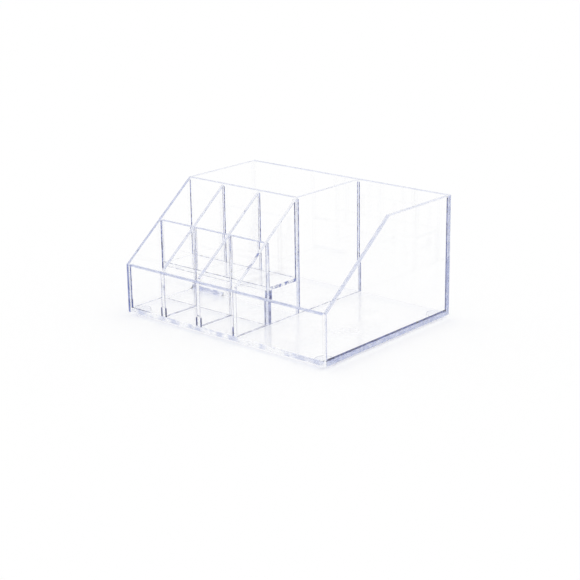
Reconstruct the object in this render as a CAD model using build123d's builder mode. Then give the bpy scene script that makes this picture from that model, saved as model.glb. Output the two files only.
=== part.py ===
from build123d import *
import os

os.makedirs("parts", exist_ok=True)

# A desk organiser of clear acrylic sheet: six small cells in two tiers at the front left, one long
# bay behind them and one deep bin on the right. Its uprights stand on a base plate with four feet.
#
# Frame: X runs from left to right, Y from front to back and Z up. The origin is the centre of the
# footprint, on the surface that the feet stand on. All sizes are in millimetres.

# ---------------------------------------------------------------- driving dimensions

overall_width = 175.0
overall_depth = 130.0
body_height = 83.0  # underside of the base to the level top edges
front_height = 33.9  # underside of the base to the top of the front panel

sheet = 2.5  # every upright sheet and the raised floor
base_thickness = 3.0

cell_width = 30.0  # clear width of each of the three cells in a row
front_cell_depth = 29.5  # clear depth of the cells in the front row
middle_cell_depth = 27.0  # clear depth of the cells in the middle row
raised_floor_height = 28.0  # underside of the base to the floor of the middle row
middle_wall_setback = 0.6  # how far the middle wall's top lies under the slope at its front face

slot_clearance = 0.1  # play across, and at the end of, each halving slot

corner_round = 1.0  # outer corners of the box
edge_round = 0.4  # polished top edges of the sheets

foot_radius = 5.5
foot_height = 2.0
foot_round = 0.8  # rolled edge round the patch that a foot stands on
foot_inset = 8.0  # foot centre from the two nearest outer faces

# ---------------------------------------------------------------- places worked out from them

left_face = -overall_width / 2
right_face = overall_width / 2
front_face = -overall_depth / 2
back_face = overall_depth / 2

left_inner = left_face + sheet
right_inner = right_face - sheet
front_inner = front_face + sheet
back_inner = back_face - sheet

base_underside = foot_height
base_top = base_underside + base_thickness
top_edge = base_underside + body_height
front_edge = base_underside + front_height
raised_floor_top = base_underside + raised_floor_height

cell_pitch = cell_width + sheet
first_divider_x = left_inner + cell_width + sheet / 2
second_divider_x = first_divider_x + cell_pitch
partition_x = second_divider_x + cell_pitch
partition_left = partition_x - sheet / 2

middle_wall_y = front_inner + front_cell_depth + sheet / 2
rear_wall_y = middle_wall_y + middle_cell_depth + sheet
rear_wall_front = rear_wall_y - sheet / 2
slope_top_y = rear_wall_y  # the slopes end over the middle of the rear cell wall


def slope_height(y):
    """Height of the sloping edges at depth y."""
    rise = top_edge - front_edge
    run = slope_top_y - front_face
    return front_edge + (y - front_face) * rise / run


middle_wall_top = slope_height(middle_wall_y - sheet / 2) - middle_wall_setback
halving_height = (raised_floor_top + middle_wall_top) / 2


def upright(x, outline):
    """A sheet that stands front to back, centred on x, with its outline given as (y, z) points."""
    with BuildPart() as panel:
        with BuildSketch(Plane.YZ.offset(x - sheet / 2)):
            with BuildLine():
                Polyline(*outline, close=True)
            make_face()
        extrude(amount=sheet)
    return panel.part


def finish(part, name):
    """Names a finished piece and writes it."""
    part.label = name
    export_step(part, f"parts/{name}.step")


# ---------------------------------------------------------------- base plate
# It lies inside the four outer panels, flush with their lower edges.

with BuildPart() as base_plate:
    with BuildSketch(Plane.XY.offset(base_underside)):
        Rectangle(right_inner - left_inner, back_inner - front_inner)
    extrude(amount=base_thickness)

finish(base_plate.part, "base_plate")

# ---------------------------------------------------------------- side panels
# They run the full depth and cover the ends of the front and back panels. Their tops slope down
# to the front panel.

side_outline = [
    (front_face, base_underside),
    (front_face, front_edge),
    (slope_top_y, top_edge),
    (back_face, top_edge),
    (back_face, base_underside),
]

with BuildPart() as left_side_panel:
    add(upright(left_face + sheet / 2, side_outline))
    inner_edges = left_side_panel.faces().sort_by(Axis.X)[-1].edges().sort_by(Axis.Z)[-2:]
    fillet(inner_edges, edge_round)
    fillet(left_side_panel.faces().sort_by(Axis.X)[0].edges(), corner_round)

finish(left_side_panel.part, "left_side_panel")

with BuildPart() as right_side_panel:
    mirror(left_side_panel.part, about=Plane.YZ)

finish(right_side_panel.part, "right_side_panel")

# ---------------------------------------------------------------- front and back panels
# They stand between the side panels. The low front is rounded over like the other outer corners.

with BuildPart() as front_panel:
    with BuildSketch(Plane.XZ.offset(-front_inner)):
        with BuildLine():
            Polyline(
                (left_inner, base_underside),
                (right_inner, base_underside),
                (right_inner, front_edge),
                (left_inner, front_edge),
                close=True,
            )
        make_face()
    extrude(amount=sheet)
    fillet(front_panel.faces().sort_by(Axis.Y)[0].edges().filter_by(Axis.X), corner_round)
    fillet(front_panel.faces().sort_by(Axis.Y)[-1].edges().sort_by(Axis.Z)[-1], edge_round)

finish(front_panel.part, "front_panel")

with BuildPart() as back_panel:
    with BuildSketch(Plane.XZ.offset(-back_face)):
        with BuildLine():
            Polyline(
                (left_inner, base_underside),
                (right_inner, base_underside),
                (right_inner, top_edge),
                (left_inner, top_edge),
                close=True,
            )
        make_face()
    extrude(amount=sheet)
    fillet(back_panel.edges().filter_by(Axis.X).group_by(Axis.Z)[-1], edge_round)
    fillet(back_panel.edges().filter_by(Axis.X).group_by(Axis.Z)[0].sort_by(Axis.Y)[-1], corner_round)

finish(back_panel.part, "back_panel")

# ---------------------------------------------------------------- bin partition
# It divides the cells and the rear bay from the bin, and has the side panels' slope.

with BuildPart() as bin_partition:
    add(
        upright(
            partition_x,
            [
                (front_inner, base_top),
                (front_inner, slope_height(front_inner)),
                (slope_top_y, top_edge),
                (back_inner, top_edge),
                (back_inner, base_top),
            ],
        )
    )
    for face in (bin_partition.faces().sort_by(Axis.X)[0], bin_partition.faces().sort_by(Axis.X)[-1]):
        fillet(face.edges().sort_by(Axis.Z)[-2:], edge_round)

finish(bin_partition.part, "bin_partition")

# ---------------------------------------------------------------- rear cell wall
# The full-height wall between the middle row of cells and the rear bay.

with BuildPart() as rear_cell_wall:
    with BuildSketch(Plane.XZ.offset(-(rear_wall_y + sheet / 2))):
        with BuildLine():
            Polyline(
                (left_inner, base_top),
                (partition_left, base_top),
                (partition_left, top_edge),
                (left_inner, top_edge),
                close=True,
            )
        make_face()
    extrude(amount=sheet)
    fillet(rear_cell_wall.edges().filter_by(Axis.X).group_by(Axis.Z)[-1], edge_round)

finish(rear_cell_wall.part, "rear_cell_wall")

# ---------------------------------------------------------------- middle cell wall
# It has a slot down from its top edge for each divider: one half of each halving joint.

with BuildPart() as middle_cell_wall:
    with BuildSketch(Plane.XZ.offset(-(middle_wall_y + sheet / 2))):
        with BuildLine():
            Polyline(
                (left_inner, base_top),
                (partition_left, base_top),
                (partition_left, middle_wall_top),
                (left_inner, middle_wall_top),
                close=True,
            )
        make_face()
    extrude(amount=sheet)
    fillet(middle_cell_wall.edges().filter_by(Axis.X).group_by(Axis.Z)[-1], edge_round)
    with BuildSketch(Plane.XZ.offset(-(middle_wall_y + sheet / 2))):
        with Locations(
            (first_divider_x, halving_height - slot_clearance / 2),
            (second_divider_x, halving_height - slot_clearance / 2),
        ):
            Rectangle(
                sheet + slot_clearance,
                top_edge - halving_height,
                align=(Align.CENTER, Align.MIN),
            )
    extrude(amount=sheet, mode=Mode.SUBTRACT)

finish(middle_cell_wall.part, "middle_cell_wall")

# ---------------------------------------------------------------- raised floor
# One strip under the whole middle row. It closes the space below it.

with BuildPart() as raised_cell_floor:
    with BuildSketch(Plane.XY.offset(raised_floor_top)):
        with BuildLine():
            Polyline(
                (left_inner, middle_wall_y + sheet / 2),
                (partition_left, middle_wall_y + sheet / 2),
                (partition_left, rear_wall_front),
                (left_inner, rear_wall_front),
                close=True,
            )
        make_face()
    extrude(amount=-sheet)

finish(raised_cell_floor.part, "raised_cell_floor")

# ---------------------------------------------------------------- cell dividers
# The front leg of each stands on the base plate and its rear part on the raised floor. The slot
# between them rises from below and straddles the middle cell wall.

slot_front = middle_wall_y - (sheet + slot_clearance) / 2
slot_rear = middle_wall_y + (sheet + slot_clearance) / 2
slot_top = halving_height + slot_clearance / 2

divider_outline = [
    (front_inner, base_top),
    (front_inner, slope_height(front_inner)),
    (rear_wall_front, slope_height(rear_wall_front)),
    (rear_wall_front, raised_floor_top),
    (slot_rear, raised_floor_top),
    (slot_rear, slot_top),
    (slot_front, slot_top),
    (slot_front, base_top),
]

for name, divider_x in (("left_cell_divider", first_divider_x), ("right_cell_divider", second_divider_x)):
    with BuildPart() as cell_divider:
        add(upright(divider_x, divider_outline))
        for face in (cell_divider.faces().sort_by(Axis.X)[0], cell_divider.faces().sort_by(Axis.X)[-1]):
            fillet(face.edges().sort_by(Edge.length)[-1], edge_round)
    finish(cell_divider.part, name)

# ---------------------------------------------------------------- feet
# Four clear bumpers under the base plate, one near each corner.

foot_places = {
    "foot_front_left": (left_face + foot_inset, front_face + foot_inset),
    "foot_front_right": (right_face - foot_inset, front_face + foot_inset),
    "foot_back_left": (left_face + foot_inset, back_face - foot_inset),
    "foot_back_right": (right_face - foot_inset, back_face - foot_inset),
}

for name, place in foot_places.items():
    with BuildPart() as foot:
        with BuildSketch(Plane.XY):
            with Locations(place):
                Circle(foot_radius)
        extrude(amount=foot_height)
        fillet(foot.edges().sort_by(Axis.Z)[0], foot_round)
    finish(foot.part, name)
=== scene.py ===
import math

import bpy
from mathutils import Matrix, Vector


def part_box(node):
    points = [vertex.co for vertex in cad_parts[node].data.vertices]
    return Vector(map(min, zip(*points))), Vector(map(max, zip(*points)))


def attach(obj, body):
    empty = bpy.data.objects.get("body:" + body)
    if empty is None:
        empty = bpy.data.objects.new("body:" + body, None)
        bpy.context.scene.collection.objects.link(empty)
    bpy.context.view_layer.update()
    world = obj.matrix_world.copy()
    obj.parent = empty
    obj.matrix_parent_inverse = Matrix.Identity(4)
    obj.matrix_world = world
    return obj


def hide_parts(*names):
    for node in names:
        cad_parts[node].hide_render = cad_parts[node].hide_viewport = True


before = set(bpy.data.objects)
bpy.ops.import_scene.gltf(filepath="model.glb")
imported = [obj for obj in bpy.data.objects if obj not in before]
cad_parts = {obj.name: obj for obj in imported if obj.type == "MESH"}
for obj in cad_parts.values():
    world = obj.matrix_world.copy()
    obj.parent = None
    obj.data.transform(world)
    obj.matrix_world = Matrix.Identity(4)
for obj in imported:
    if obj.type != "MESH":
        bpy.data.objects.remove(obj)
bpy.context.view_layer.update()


# ------------------------------------------------------------------ base plate
# The floor of the box: cast acrylic, sawn to lie between the four outer panels and welded at its
# front and back. Its dry side ends show as a violet band, partly the acrylic's own colour and
# partly painted shade, and its faces are scuffed.

X, Y, Z = 0, 1, 2
sides = {"left": (X, -1), "right": (X, 1), "front": (Y, -1), "back": (Y, 1), "under": (Z, -1)}
weld = 0.00003  # solvent softens both faces, so a welded edge runs this far into its neighbour
air_film = 0.00001  # left between two faces that the solvent did not wet
touching = 0.00002  # points this near a plane lie on it
squarely = 0.99  # a direction with this share of itself along an axis counts as along the axis
broken_edge = 0.00015  # taken off a sawn edge so that it is not sharp


def pick_only(*pieces):
    """Selects these pieces alone and makes the last of them active."""
    bpy.ops.object.select_all(action="DESELECT")
    for piece in pieces:
        piece.select_set(True)
        bpy.context.view_layer.objects.active = piece


def block(name, low, high):
    """A block between two corners, with its place in its mesh."""
    bpy.ops.object.select_all(action="DESELECT")
    bpy.ops.mesh.primitive_cube_add(size=1, location=(low + high) / 2, scale=high - low)
    bpy.ops.object.transform_apply(location=True, rotation=True, scale=True)
    made = bpy.context.object
    made.name = made.data.name = name
    return made


def sheet_of(node, welded=(), dry=()):
    """A sheet the size of a CAD node, into its neighbour where welded and short of it where dry."""
    low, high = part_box(node)
    for step, chosen in ((weld, welded), (-air_film, dry)):
        for side in chosen:
            axis, way = sides[side]
            (low if way < 0 else high)[axis] += way * step
    sheet = block(node + "_sheet", low, high)
    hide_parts(node)
    return sheet


def on_plane(points, axis, place):
    """True if every point is at that place along the axis."""
    return all(abs(p[axis] - place) < touching for p in points)


def round_over(piece, radius, wanted, segments=4, profile=0.5):
    """Rolls over the edges that wanted(ends) picks."""
    pick_only(piece)
    mesh = piece.data
    for part in (mesh.vertices, mesh.edges, mesh.polygons):
        part.foreach_set("select", [False] * len(part))
    for edge in mesh.edges:
        edge.select = wanted([mesh.vertices[i].co for i in edge.vertices])
    bpy.ops.object.mode_set(mode="EDIT")
    bpy.ops.mesh.select_mode(type="EDGE")
    bpy.ops.mesh.bevel(offset=radius, segments=segments, profile=profile, affect="EDGES")
    bpy.ops.object.mode_set(mode="OBJECT")


class Wire:
    """A socket in a node tree. Sums on it add their Math nodes."""

    tree = None

    def __init__(self, socket):
        self.socket = socket

    @classmethod
    def node(cls, kind, settings=None, output=0, sockets=None):
        """Adds a node with its settings first, then the values or links of its sockets."""
        made = cls.tree.nodes.new(kind)
        for setting, value in (settings or {}).items():
            setattr(made, setting, value)
        for name, value in (sockets or {}).items():
            if isinstance(value, Wire):
                cls.tree.links.new(value.socket, made.inputs[name])
            else:
                made.inputs[name].default_value = value
        return cls(made.outputs[output])

    def maths(self, operation, other, swapped=False):
        """One Math node on this socket and another one or a number."""
        pair = (other, self) if swapped else (self, other)
        return Wire.node("ShaderNodeMath", {"operation": operation}, sockets=dict(enumerate(pair)))

    def __add__(self, other):
        return self.maths("ADD", other)

    def __sub__(self, other):
        return self.maths("SUBTRACT", other)

    def __rsub__(self, other):
        return self.maths("SUBTRACT", other, swapped=True)

    def __mul__(self, other):
        return self.maths("MULTIPLY", other)

    __radd__ = __add__
    __rmul__ = __mul__

    def clamped(self):
        """Keeps the value between 0 and 1."""
        self.socket.node.use_clamp = True
        return self


def cloud(size, detail=3.0):
    """Noise with blotches of that size."""
    where = Wire.node("ShaderNodeTexCoord", output="Object")
    return Wire.node(
        "ShaderNodeTexNoise", sockets={"Vector": where, "Scale": 1 / size, "Detail": detail}
    )


def patches(size, start, contrast, detail=3.0):
    """Blotches of that size: 0 where the noise is under start, and rising to 1 above it."""
    return ((cloud(size, detail) - start) * contrast).clamped()


def tint_and_painted_shade(depth):
    """The violet colour of clear acrylic, also used darker as painted shade: 0 is none, 1 is the
    palest that shows, 6 is near black.
    """
    red, green, blue = 0.63, 0.665, 0.82  # share of each that a depth of 1 lets through
    return (red**depth, green**depth, blue**depth, 1)


def clear_plastic(name, pale, deep, blotch, roughness, ripple, grain):
    """Clear plastic coloured violet from pale to deep in blotches of that size, scuffed up to that
    roughness, and with ripples of that height a grain apart. Darker colours in it are painted
    shade."""
    made = bpy.data.materials.new(name)
    made.use_nodes = True
    Wire.tree = made.node_tree
    shader = Wire.tree.nodes["Principled BSDF"]
    shader.inputs["IOR"].default_value = 1.49
    shader.inputs["Transmission Weight"].default_value = 1
    share = patches(blotch, start=0.42, contrast=6.0)
    factor, first, second = 0, 6, 7  # the sockets of a Mix node that is set to colours
    # Mixes the pale and the deep colour in blotches; the darker colours of ends and cement beads
    # are painted shade.
    mixed_colour_and_shade = Wire.node(
        "ShaderNodeMix",
        {"data_type": "RGBA"},
        output=2,
        sockets={factor: share, first: tint_and_painted_shade(pale), second: tint_and_painted_shade(deep)},
    )
    scuffs = patches(blotch * 2, start=0.5, contrast=4.0, detail=6.0)
    unscuffed = 0.4  # share of the roughness that is there without a scuff
    relief = Wire.node(
        "ShaderNodeBump", sockets={"Strength": 1.0, "Distance": ripple, "Height": cloud(grain)}
    )
    haze = (unscuffed + (1 - unscuffed) * scuffs) * roughness
    Wire.tree.links.new(mixed_colour_and_shade.socket, shader.inputs["Base Color"])
    Wire.tree.links.new(haze.socket, shader.inputs["Roughness"])
    Wire.tree.links.new(relief.socket, shader.inputs["Normal"])
    return made


def unpolished(name, pale, deep, blotch=0.003):
    """Plastic that was never buffed: a sheet's sawn end, or cement as it dried."""
    return clear_plastic(name, pale, deep, blotch, roughness=0.05, ripple=0.00002, grain=0.0008)


def keep_faces_flat(piece):
    """Shades rounds smoothly and lets each large face keep its own normal."""
    bpy.ops.object.shade_smooth_by_angle(angle=math.radians(30))
    weighted = piece.modifiers.new("flat_faces", "WEIGHTED_NORMAL")
    weighted.weight = 100
    weighted.keep_sharp = True
    bpy.ops.object.modifier_apply(modifier=weighted.name)


def turn_normals_out(piece):
    """Makes every face look outward."""
    pick_only(piece)
    bpy.ops.object.mode_set(mode="EDIT")
    bpy.ops.mesh.select_all(action="SELECT")
    bpy.ops.mesh.normals_make_consistent(inside=False)
    bpy.ops.object.mode_set(mode="OBJECT")


cast_surface = {"pale": 0.0, "deep": 0.004, "blotch": 0.02, "ripple": 0.000004, "grain": 0.03}
clear_sheet = clear_plastic("clear_sheet", roughness=0.01, **cast_surface)


def finish_sheet(sheet, coats):
    """Lays each finish on the faces that its test picks, and gives the sheet its body."""
    mesh = sheet.data
    mesh.materials.append(clear_sheet)
    turn_normals_out(sheet)
    for coat, (finish, wanted) in enumerate(coats, start=1):
        mesh.materials.append(finish)
        for face in mesh.polygons:
            if wanted(face.normal, face.center):
                face.material_index = coat
    keep_faces_flat(sheet)
    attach(sheet, "root")


def facing(side):
    """A test for the faces that look to one side."""
    axis, way = sides[side]
    return lambda normal, centre: normal[axis] * way > squarely


scuffed_face = clear_plastic("scuffed_face", roughness=0.3, **cast_surface)
# The base's ends are coloured deep violet, partly the acrylic's own colour and partly painted
# shade.
base_side_end_and_shade = unpolished("base_side_end_and_shade", 1.6, 2.9)
base = sheet_of("base_plate", ("front", "back"), ("left", "right"))
base_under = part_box("base_plate")[0].z
round_over(base, broken_edge, lambda ends: on_plane(ends, Z, base_under), segments=2)
finish_sheet(
    base,
    (
        (scuffed_face, lambda normal, centre: abs(normal.z) > squarely),
        (base_side_end_and_shade, facing("right")),
        (base_side_end_and_shade, facing("left")),
        (unpolished("base_front_end_and_shade", 0.0, 1.6, blotch=0.009), facing("front")),
        (unpolished("base_back_end", 0.0, 0.1), facing("back")),
    ),
)


# ------------------------------------------------------------------ side panels
# Sheets over the whole depth, sawn off at a slope down to the low front and polished there. They
# cover the ends of the front and back panels, and their outer corners are rolled over.

corner_round = 0.001  # of the outer corners of the box
edge_round = 0.0004  # of the other polished edges
rim_depth = 0.9 * corner_round  # faces no deeper than this under an edge belong to its rim
rim_drift = 1.6  # a rim's cast is this many times deeper in its blotches than between them
rear_low, rear_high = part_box("rear_cell_wall")
front_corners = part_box("front_panel")
slope_foot = Vector((0, front_corners[0].y, front_corners[1].z))
slope_head = Vector((0, (rear_low.y + rear_high.y) / 2, rear_high.z))
slope_run = slope_head - slope_foot
slope_normal = Vector((0, -slope_run.z, slope_run.y)).normalized()


def saw_slope(sheet):
    """Saws off what stands above the slope."""
    pick_only(sheet)
    bpy.ops.object.mode_set(mode="EDIT")
    bpy.ops.mesh.select_all(action="SELECT")
    bpy.ops.mesh.bisect(
        plane_co=slope_head, plane_no=slope_normal, use_fill=True, clear_outer=True
    )
    bpy.ops.object.mode_set(mode="OBJECT")


def under_slope(point):
    """How far a point lies under the sawn slope."""
    return (slope_head - point).dot(slope_normal)


def on_slope(points):
    """True if every point lies on the sloping cut."""
    return all(abs(under_slope(p)) < touching for p in points)


def front_to_back(points):
    """True if the edge between two points does not run sideways."""
    return abs(points[0].x - points[1].x) < touching


def on_rim(points, top):
    """True if the edge runs front to back along the slope or the level top."""
    return front_to_back(points) and (on_slope(points) or on_plane(points, Z, top))


def slope_rim(normal, centre):
    """A test for the faces of the sawn slope and its rolled corners."""
    return abs(normal.x) < squarely and under_slope(centre) < rim_depth


def level_rim(normal, centre):
    """A test for the faces of the level top edge and its rolled corners."""
    return abs(normal.x) < squarely and rear_high.z - centre.z < rim_depth


def upright_end(way):
    """A test for the front or back end of a side panel, with its rolled corners."""
    hardly = 0.1  # share of a normal that is too small to count
    return lambda normal, centre: normal.y * way > hardly and abs(normal.z) < hardly


def polished_rim(name, pale, deep):
    """A polished edge: smooth, with the faint waves that the buffing wheel leaves."""
    return clear_plastic(
        name, pale, deep, blotch=0.004, roughness=0.05, ripple=0.0000015, grain=0.0006
    )


level_finish = polished_rim("side_level_rim", 0.15, 0.45)
# A side panel's front end is coloured by the last number: near black on the left, which is painted
# shade over the acrylic's violet, and clear on the right.
for node, outer_end, slope_cast, front_end_tint_and_shade in (
    ("left_side_panel", 0, 1.1, 5.0),
    ("right_side_panel", 1, 0.6, 0.0),
):
    panel = sheet_of(node)
    saw_slope(panel)
    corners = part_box(node)
    outer, inner, top = corners[outer_end].x, corners[1 - outer_end].x, corners[1].z
    round_over(panel, corner_round, lambda ends: on_plane(ends, X, outer))
    round_over(panel, edge_round, lambda ends: on_plane(ends, X, inner) and on_rim(ends, top))
    finish_sheet(
        panel,
        (
            (
                polished_rim(node + "_front_end", front_end_tint_and_shade, front_end_tint_and_shade * rim_drift),
                upright_end(-1),
            ),
            (polished_rim(node + "_back_end", 0.0, 0.0), upright_end(1)),
            (polished_rim(node + "_slope_rim", slope_cast, slope_cast * rim_drift), slope_rim),
            (level_finish, level_rim),
        ),
    )


# ------------------------------------------------------------------ front and back panels
# They stand between the side panels, welded to them but for the back's right end, which shows its
# saw marks and a deep violet colour that is partly painted shade. The low front is rounded over
# where hands rest on it.


def along(points, axis):
    """True if the edge between two points runs along the axis."""
    return abs((points[1] - points[0]).normalized()[axis]) > squarely


flooded_end = polished_rim("flooded_end", 0.0, 0.02)
wetted_end = unpolished("wetted_end", 0.0, 0.1)
dry_end_and_shade = unpolished("dry_end_and_shade", 2.0, 3.2)
for node, outer_end, top_round, rim_cast, welded, dry, right_end in (
    ("front_panel", 0, corner_round, 1.25, ("left", "right"), (), flooded_end),
    ("back_panel", 1, edge_round, 0.75, ("left",), ("right",), dry_end_and_shade),
):
    panel = sheet_of(node, welded, dry)
    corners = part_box(node)
    outer, inner = corners[outer_end].y, corners[1 - outer_end].y
    foot, top = corners[0].z, corners[1].z
    for radius, height, face in (
        (corner_round, foot, outer),
        (top_round, top, outer),
        (edge_round, top, inner),
    ):
        round_over(
            panel,
            radius,
            lambda ends: along(ends, X) and on_plane(ends, Z, height) and on_plane(ends, Y, face),
        )
    finish_sheet(
        panel,
        (
            (wetted_end, facing("left")),
            (right_end, facing("right")),
            (
                polished_rim(node + "_rim", rim_cast, rim_cast * rim_drift),
                lambda normal, centre: top - centre.z < rim_depth and abs(normal.x) < squarely,
            ),
        ),
    )


# ------------------------------------------------------------------ bin partition
# A sheet from front to back between the cells and the bin, sawn to the side panels' slope and
# polished along its top. Its foot and both ends are welded.

inner_end = unpolished("inner_end", 0.0, 0.1)
inner_slope = polished_rim("inner_slope_rim", 0.15, 0.3)
welded_edges = tuple((inner_end, facing(side)) for side in ("front", "back", "under"))
partition = sheet_of("bin_partition", ("front", "back", "under"))
saw_slope(partition)
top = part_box("bin_partition")[1].z
round_over(partition, edge_round, lambda ends: on_rim(ends, top))
finish_sheet(partition, welded_edges + ((inner_slope, slope_rim), (level_finish, level_rim)))


# ------------------------------------------------------------------ cell walls
# Two sheets from left to right across the cells, welded at the left and at the foot, with a dry
# sawn end against the bin partition, whose violet colour is partly painted shade. The middle one is
# halved from above for each divider.

slot_play = 0.00005  # on each side of a sheet in its halving slot
overcut = 0.001  # how far a cutter reaches past the sheet that it cuts
wall_low, wall_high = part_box("middle_cell_wall")
floor_low, floor_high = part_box("raised_cell_floor")
halving = (floor_high.z + wall_high.z) / 2
dividers = ("left_cell_divider", "right_cell_divider")


def cut_away(sheet, low, high):
    """Cuts the block between two corners out of a sheet."""
    cutter = block("cutter", low, high)
    cut = sheet.modifiers.new("cut", "BOOLEAN")
    cut.operation = "DIFFERENCE"
    cut.solver = "EXACT"
    cut.object = cutter
    pick_only(sheet)
    bpy.ops.object.modifier_apply(modifier=cut.name)
    bpy.data.objects.remove(cutter)


for node, rim_cast, end_pale, end_deep in (
    ("rear_cell_wall", 0.7, 0.3, 1.0),
    ("middle_cell_wall", 1.2, 0.48, 1.6),
):
    wall = sheet_of(node, ("left", "under"), ("right",))
    low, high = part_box(node)
    round_over(wall, edge_round, lambda ends: along(ends, X) and on_plane(ends, Z, high.z))
    if node == "middle_cell_wall":
        for divider in dividers:
            d_low, d_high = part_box(divider)
            cut_away(
                wall,
                Vector((d_low.x - slot_play, low.y - overcut, halving - slot_play)),
                Vector((d_high.x + slot_play, high.y + overcut, high.z + overcut)),
            )
    finish_sheet(
        wall,
        (
            (inner_end, facing("left")),
            (unpolished(node + "_right_end", end_pale, end_deep, blotch=0.008), facing("right")),
            (inner_end, facing("under")),
            (
                polished_rim(node + "_rim", rim_cast, rim_cast * rim_drift),
                lambda normal, centre: high.z - centre.z < edge_round and abs(normal.x) < squarely,
            ),
        ),
    )


# ------------------------------------------------------------------ raised floor
# One strip of sheet under the whole middle row of cells, welded on all four sides. The lower edges
# of the sawn strip are broken.

strip = sheet_of("raised_cell_floor", ("left", "right", "front", "back"))
round_over(strip, broken_edge, lambda ends: on_plane(ends, Z, floor_low.z), segments=2)
finish_sheet(
    strip,
    (
        (inner_end, facing("front")),
        (inner_end, facing("back")),
        (inner_end, facing("left")),
        # The right end's violet colour, near black in blotches, is partly painted shade.
        (unpolished("raised_floor_end_and_shade", 0.2, 7.0, blotch=0.0022), facing("right")),
    ),
)


# ------------------------------------------------------------------ cell dividers
# Two like sheets, front to back through both rows of cells, halved from below over the middle
# wall. The front leg stands on the base plate and the rear part on the raised floor.


def copy_of(piece, name, shift):
    """A copy with a mesh of its own, moved by shift within that mesh."""
    pick_only(piece)
    bpy.ops.object.duplicate(linked=False)
    made = bpy.context.object
    made.name = made.data.name = name
    made.location = shift
    bpy.ops.object.transform_apply(location=True, rotation=True, scale=True)
    return made


divider = sheet_of(dividers[0], ("front", "back", "under"))
saw_slope(divider)
round_over(divider, edge_round, lambda ends: front_to_back(ends) and on_slope(ends))
low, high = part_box(dividers[0])
cut_away(
    divider,
    Vector((low.x - overcut, wall_low.y - slot_play, low.z - overcut)),
    Vector((high.x + overcut, wall_high.y + slot_play, halving + slot_play)),
)
cut_away(
    divider,
    Vector((low.x - overcut, wall_low.y, low.z - overcut)),
    Vector((high.x + overcut, high.y + overcut, floor_high.z - weld)),
)
finish_sheet(divider, welded_edges + ((inner_slope, slope_rim),))

second_divider = copy_of(divider, dividers[1] + "_sheet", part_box(dividers[1])[0] - low)
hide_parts(dividers[1])
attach(second_divider, "root")


# ------------------------------------------------------------------ cement beads
# Solvent cement was run along the joints. It dried to thin hollow beads in the inner corners. They
# are coloured deep violet to near black, which is partly painted shade, so they show as dark lines
# on each side of a sheet and are patchy along the floors.

# Sizes of a bead: how far it reaches from the corner along each of its two sheets.
thin, medium, heavy, broad, run, pooled = 0.0002, 0.0004, 0.0006, 0.001, 0.0014, 0.0026
hollow = 0.1  # profile of a bead's scooped face
scoop = 0.98  # share of a bead's leg that the scooped face takes
pool_height = 0.006  # how far a run of cement stands up from the foot of a front joint
corner_run = 0.018  # length of the run along the foot of the front panel's left end
# The beads' violet colours, near black at their deepest, are partly painted shade along the joints.
cement = unpolished("cured_cement_and_shade", 2.5, 8.0)
dense_cement_and_shade = unpolished("dense_cement_and_shade", 5.0, 10.0)
patchy_cement_and_shade = unpolished("patchy_cement_and_shade", 0.5, 8.0)
smeared_cement_and_shade = unpolished("smeared_cement_and_shade", 0.3, 2.0)
beads = []


def bead(axis_along, corner, start, end, size, finish=cement):
    """A bead from start to end in the corner of two sheets, each given as axis: (face, way)."""
    low, high = Vector((0, 0, 0)), Vector((0, 0, 0))
    low[axis_along], high[axis_along] = start, end
    for axis, (place, way) in corner.items():
        low[axis], high[axis] = sorted((place + way * air_film, place + way * size))
    made = block("bead", low, high)
    faces = [(axis, place + way * size) for axis, (place, way) in corner.items()]
    round_over(
        made,
        (size - air_film) * scoop,
        lambda ends: along(ends, axis_along) and all(on_plane(ends, *face) for face in faces),
        profile=hollow,
    )
    made.data.materials.append(finish)
    beads.append(made)


base_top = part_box("base_plate")[1].z
left_in, right_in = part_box("left_side_panel")[1].x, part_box("right_side_panel")[0].x
front_in, back_in = front_corners[1].y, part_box("back_panel")[0].y
cells_right, bin_left = (corner.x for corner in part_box("bin_partition"))
first_divider_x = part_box(dividers[0])[0].x
pool_top = base_top + pool_height

# A bead ends below the rounded top edge of the lower of its two sheets.
front_top = front_corners[1].z - edge_round
middle_top = wall_high.z - edge_round
level_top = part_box(dividers[0])[1].z - 2 * edge_round

# Each row: the sheet's face, the way it looks, and the bead sizes at the front panel, before and
# behind the middle wall, and at the rear wall.
cell_sides = [
    (left_in, 1, broad, heavy, thin, medium),
    (cells_right, -1, medium, medium, medium, broad),
]
for node, in_front in zip(dividers, (medium, thin)):
    low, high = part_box(node)
    cell_sides.append((low.x, -1, in_front, thin, thin, medium))
    cell_sides.append((high.x, 1, in_front, thin, thin, medium))
for face, way, at_front, before_middle, behind_middle, at_rear in cell_sides:
    bead(Z, {X: (face, way), Y: (front_in, 1)}, base_top, pool_top, run, dense_cement_and_shade)
    bead(Z, {X: (face, way), Y: (front_in, 1)}, pool_top, front_top, at_front)
    bead(Z, {X: (face, way), Y: (wall_low.y, -1)}, base_top, middle_top, before_middle)
    bead(Z, {X: (face, way), Y: (wall_high.y, 1)}, floor_high.z, middle_top, behind_middle)
    bead(Z, {X: (face, way), Y: (rear_low.y, -1)}, floor_high.z, level_top, at_rear)
    bead(Y, {X: (face, way), Z: (base_top, 1)}, front_in, wall_low.y, thin, patchy_cement_and_shade)

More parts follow.
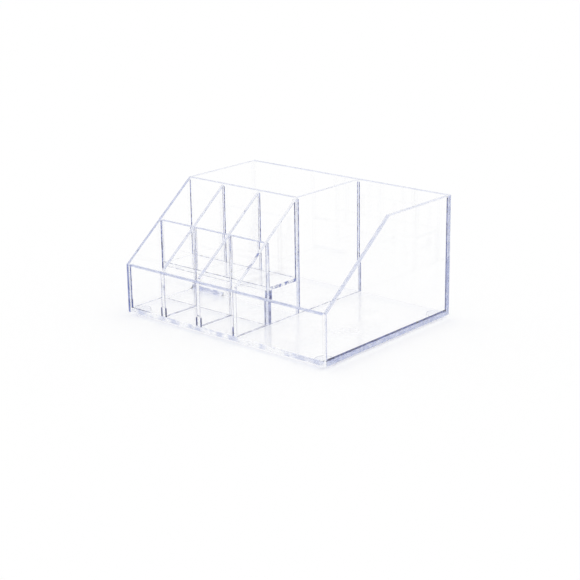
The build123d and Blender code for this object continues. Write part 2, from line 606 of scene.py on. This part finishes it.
bead(X, {Y: (front_in, 1), Z: (base_top, 1)}, left_in, left_in + corner_run, medium, dense_cement_and_shade)
bead(Z, {X: (bin_left, 1), Y: (front_in, 1)}, base_top, front_top, thin)
bead(Z, {X: (bin_left, 1), Y: (back_in, -1)}, base_top, level_top, medium)
bead(Z, {X: (cells_right, -1), Y: (back_in, -1)}, base_top, level_top, heavy)
bead(Z, {X: (cells_right, -1), Y: (rear_high.y, 1)}, base_top, level_top, broad)
bead(Z, {X: (cells_right, -1), Y: (wall_high.y, 1)}, base_top, floor_low.z, pooled)
bead(Z, {X: (right_in, -1), Y: (back_in, -1)}, base_top, level_top, broad, dense_cement_and_shade)
bead(Y, {X: (right_in, -1), Z: (base_top, 1)}, front_in, back_in, run, dense_cement_and_shade)
bead(Y, {X: (bin_left, 1), Z: (base_top, 1)}, front_in, back_in, thin, patchy_cement_and_shade)
bead(X, {Y: (wall_low.y, -1), Z: (base_top, 1)}, left_in, cells_right, thin, patchy_cement_and_shade)
bead(X, {Y: (wall_high.y, 1), Z: (floor_high.z, 1)}, left_in, cells_right, medium, patchy_cement_and_shade)
bead(X, {Y: (wall_high.y, 1), Z: (floor_low.z, -1)}, left_in, cells_right, thin, patchy_cement_and_shade)
bead(X, {Y: (rear_low.y, -1), Z: (floor_high.z, 1)}, left_in, cells_right, thin, patchy_cement_and_shade)
bead(X, {Y: (rear_low.y, -1), Z: (base_top, 1)}, left_in, first_divider_x, pooled, smeared_cement_and_shade)

pick_only(*beads)
bpy.ops.object.join()
joints = bpy.context.object
joints.name = joints.data.name = "cement_beads"
turn_normals_out(joints)
keep_faces_flat(joints)
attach(joints, "root")


# ------------------------------------------------------------------ feet
# Clear polyurethane bumpers, cast in a shallow mould that rolls their lower rim, and stuck under
# the corners of the base plate.

foot_round = 0.0008
feet = ("foot_front_left", "foot_front_right", "foot_back_left", "foot_back_right")
low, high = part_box(feet[0])
bpy.ops.object.select_all(action="DESELECT")
bpy.ops.mesh.primitive_cylinder_add(
    vertices=64,
    radius=(high.x - low.x) / 2,
    depth=high.z + weld - low.z,
    location=((low.x + high.x) / 2, (low.y + high.y) / 2, (low.z + high.z + weld) / 2),
)
bpy.ops.object.transform_apply(location=True, rotation=True, scale=True)
bumper = bpy.context.object
bumper.name = bumper.data.name = feet[0] + "_bumper"
round_over(bumper, foot_round, lambda ends: on_plane(ends, Z, low.z), segments=5)
bumper.data.materials.append(
    clear_plastic(
        "clear_bumper", 0.05, 0.2, blotch=0.003, roughness=0.08, ripple=0.00001, grain=0.001
    )
)
keep_faces_flat(bumper)
for node in feet:
    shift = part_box(node)[0] - low
    foot = bumper if node == feet[0] else copy_of(bumper, node + "_bumper", shift)
    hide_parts(node)
    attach(foot, "root")


# ------------------------------------------------------------------ table and light
# A matt white table under an even white dome, which is what the camera, the polished faces and
# the light inside the sheets all see.

under_feet = -0.00005  # keeps the table's face clear of the feet
piped_bounces = 400  # light is piped far along the sheets before it leaves them
scene = bpy.context.scene
scene.view_settings.view_transform = "Standard"
scene.cycles.max_bounces = piped_bounces
scene.cycles.transmission_bounces = piped_bounces
scene.cycles.glossy_bounces = piped_bounces
scene.cycles.diffuse_bounces = 16
scene.cycles.blur_glossy = 0

bpy.ops.object.select_all(action="DESELECT")
bpy.ops.mesh.primitive_plane_add(size=12, location=(0, 0, under_feet))
table = bpy.context.object
table.name = "table_top"
white = bpy.data.materials.new("table_white")
white.use_nodes = True
matt = white.node_tree.nodes["Principled BSDF"]
matt.inputs["Base Color"].default_value = (1, 1, 1, 1)
matt.inputs["Roughness"].default_value = 1
matt.inputs["Specular IOR Level"].default_value = 0
table.data.materials.append(white)

world = bpy.data.worlds.new("white_dome")
scene.world = world
world.use_nodes = True
dome = world.node_tree.nodes["Background"]
dome.inputs["Color"].default_value = (1, 1, 1, 1)
dome.inputs["Strength"].default_value = 1


# ------------------------------------------------------------------ camera
# It stands in front and to the right of the object, a little above it and a metre away, and looks
# down at it through a long lens with a slight roll.

azimuth, elevation, roll = math.radians(41.102), math.radians(17.471), math.radians(-0.815)
level_back = Vector((math.sin(azimuth), -math.cos(azimuth), 0))
back = level_back * math.cos(elevation) + Vector((0, 0, math.sin(elevation)))
level_right = Vector((math.cos(azimuth), math.sin(azimuth), 0))
level_up = back.cross(level_right)
right = level_right * math.cos(roll) + level_up * math.sin(roll)
up = level_up * math.cos(roll) - level_right * math.sin(roll)
bpy.ops.object.camera_add(location=(0.62499, -0.7134, 0.31692))
camera = bpy.context.object
camera.rotation_euler = Matrix((right, up, back)).transposed().to_euler()
camera.data.sensor_width = 36
camera.data.lens = 91.62
camera.data.clip_start = 0.01
scene.camera = camera
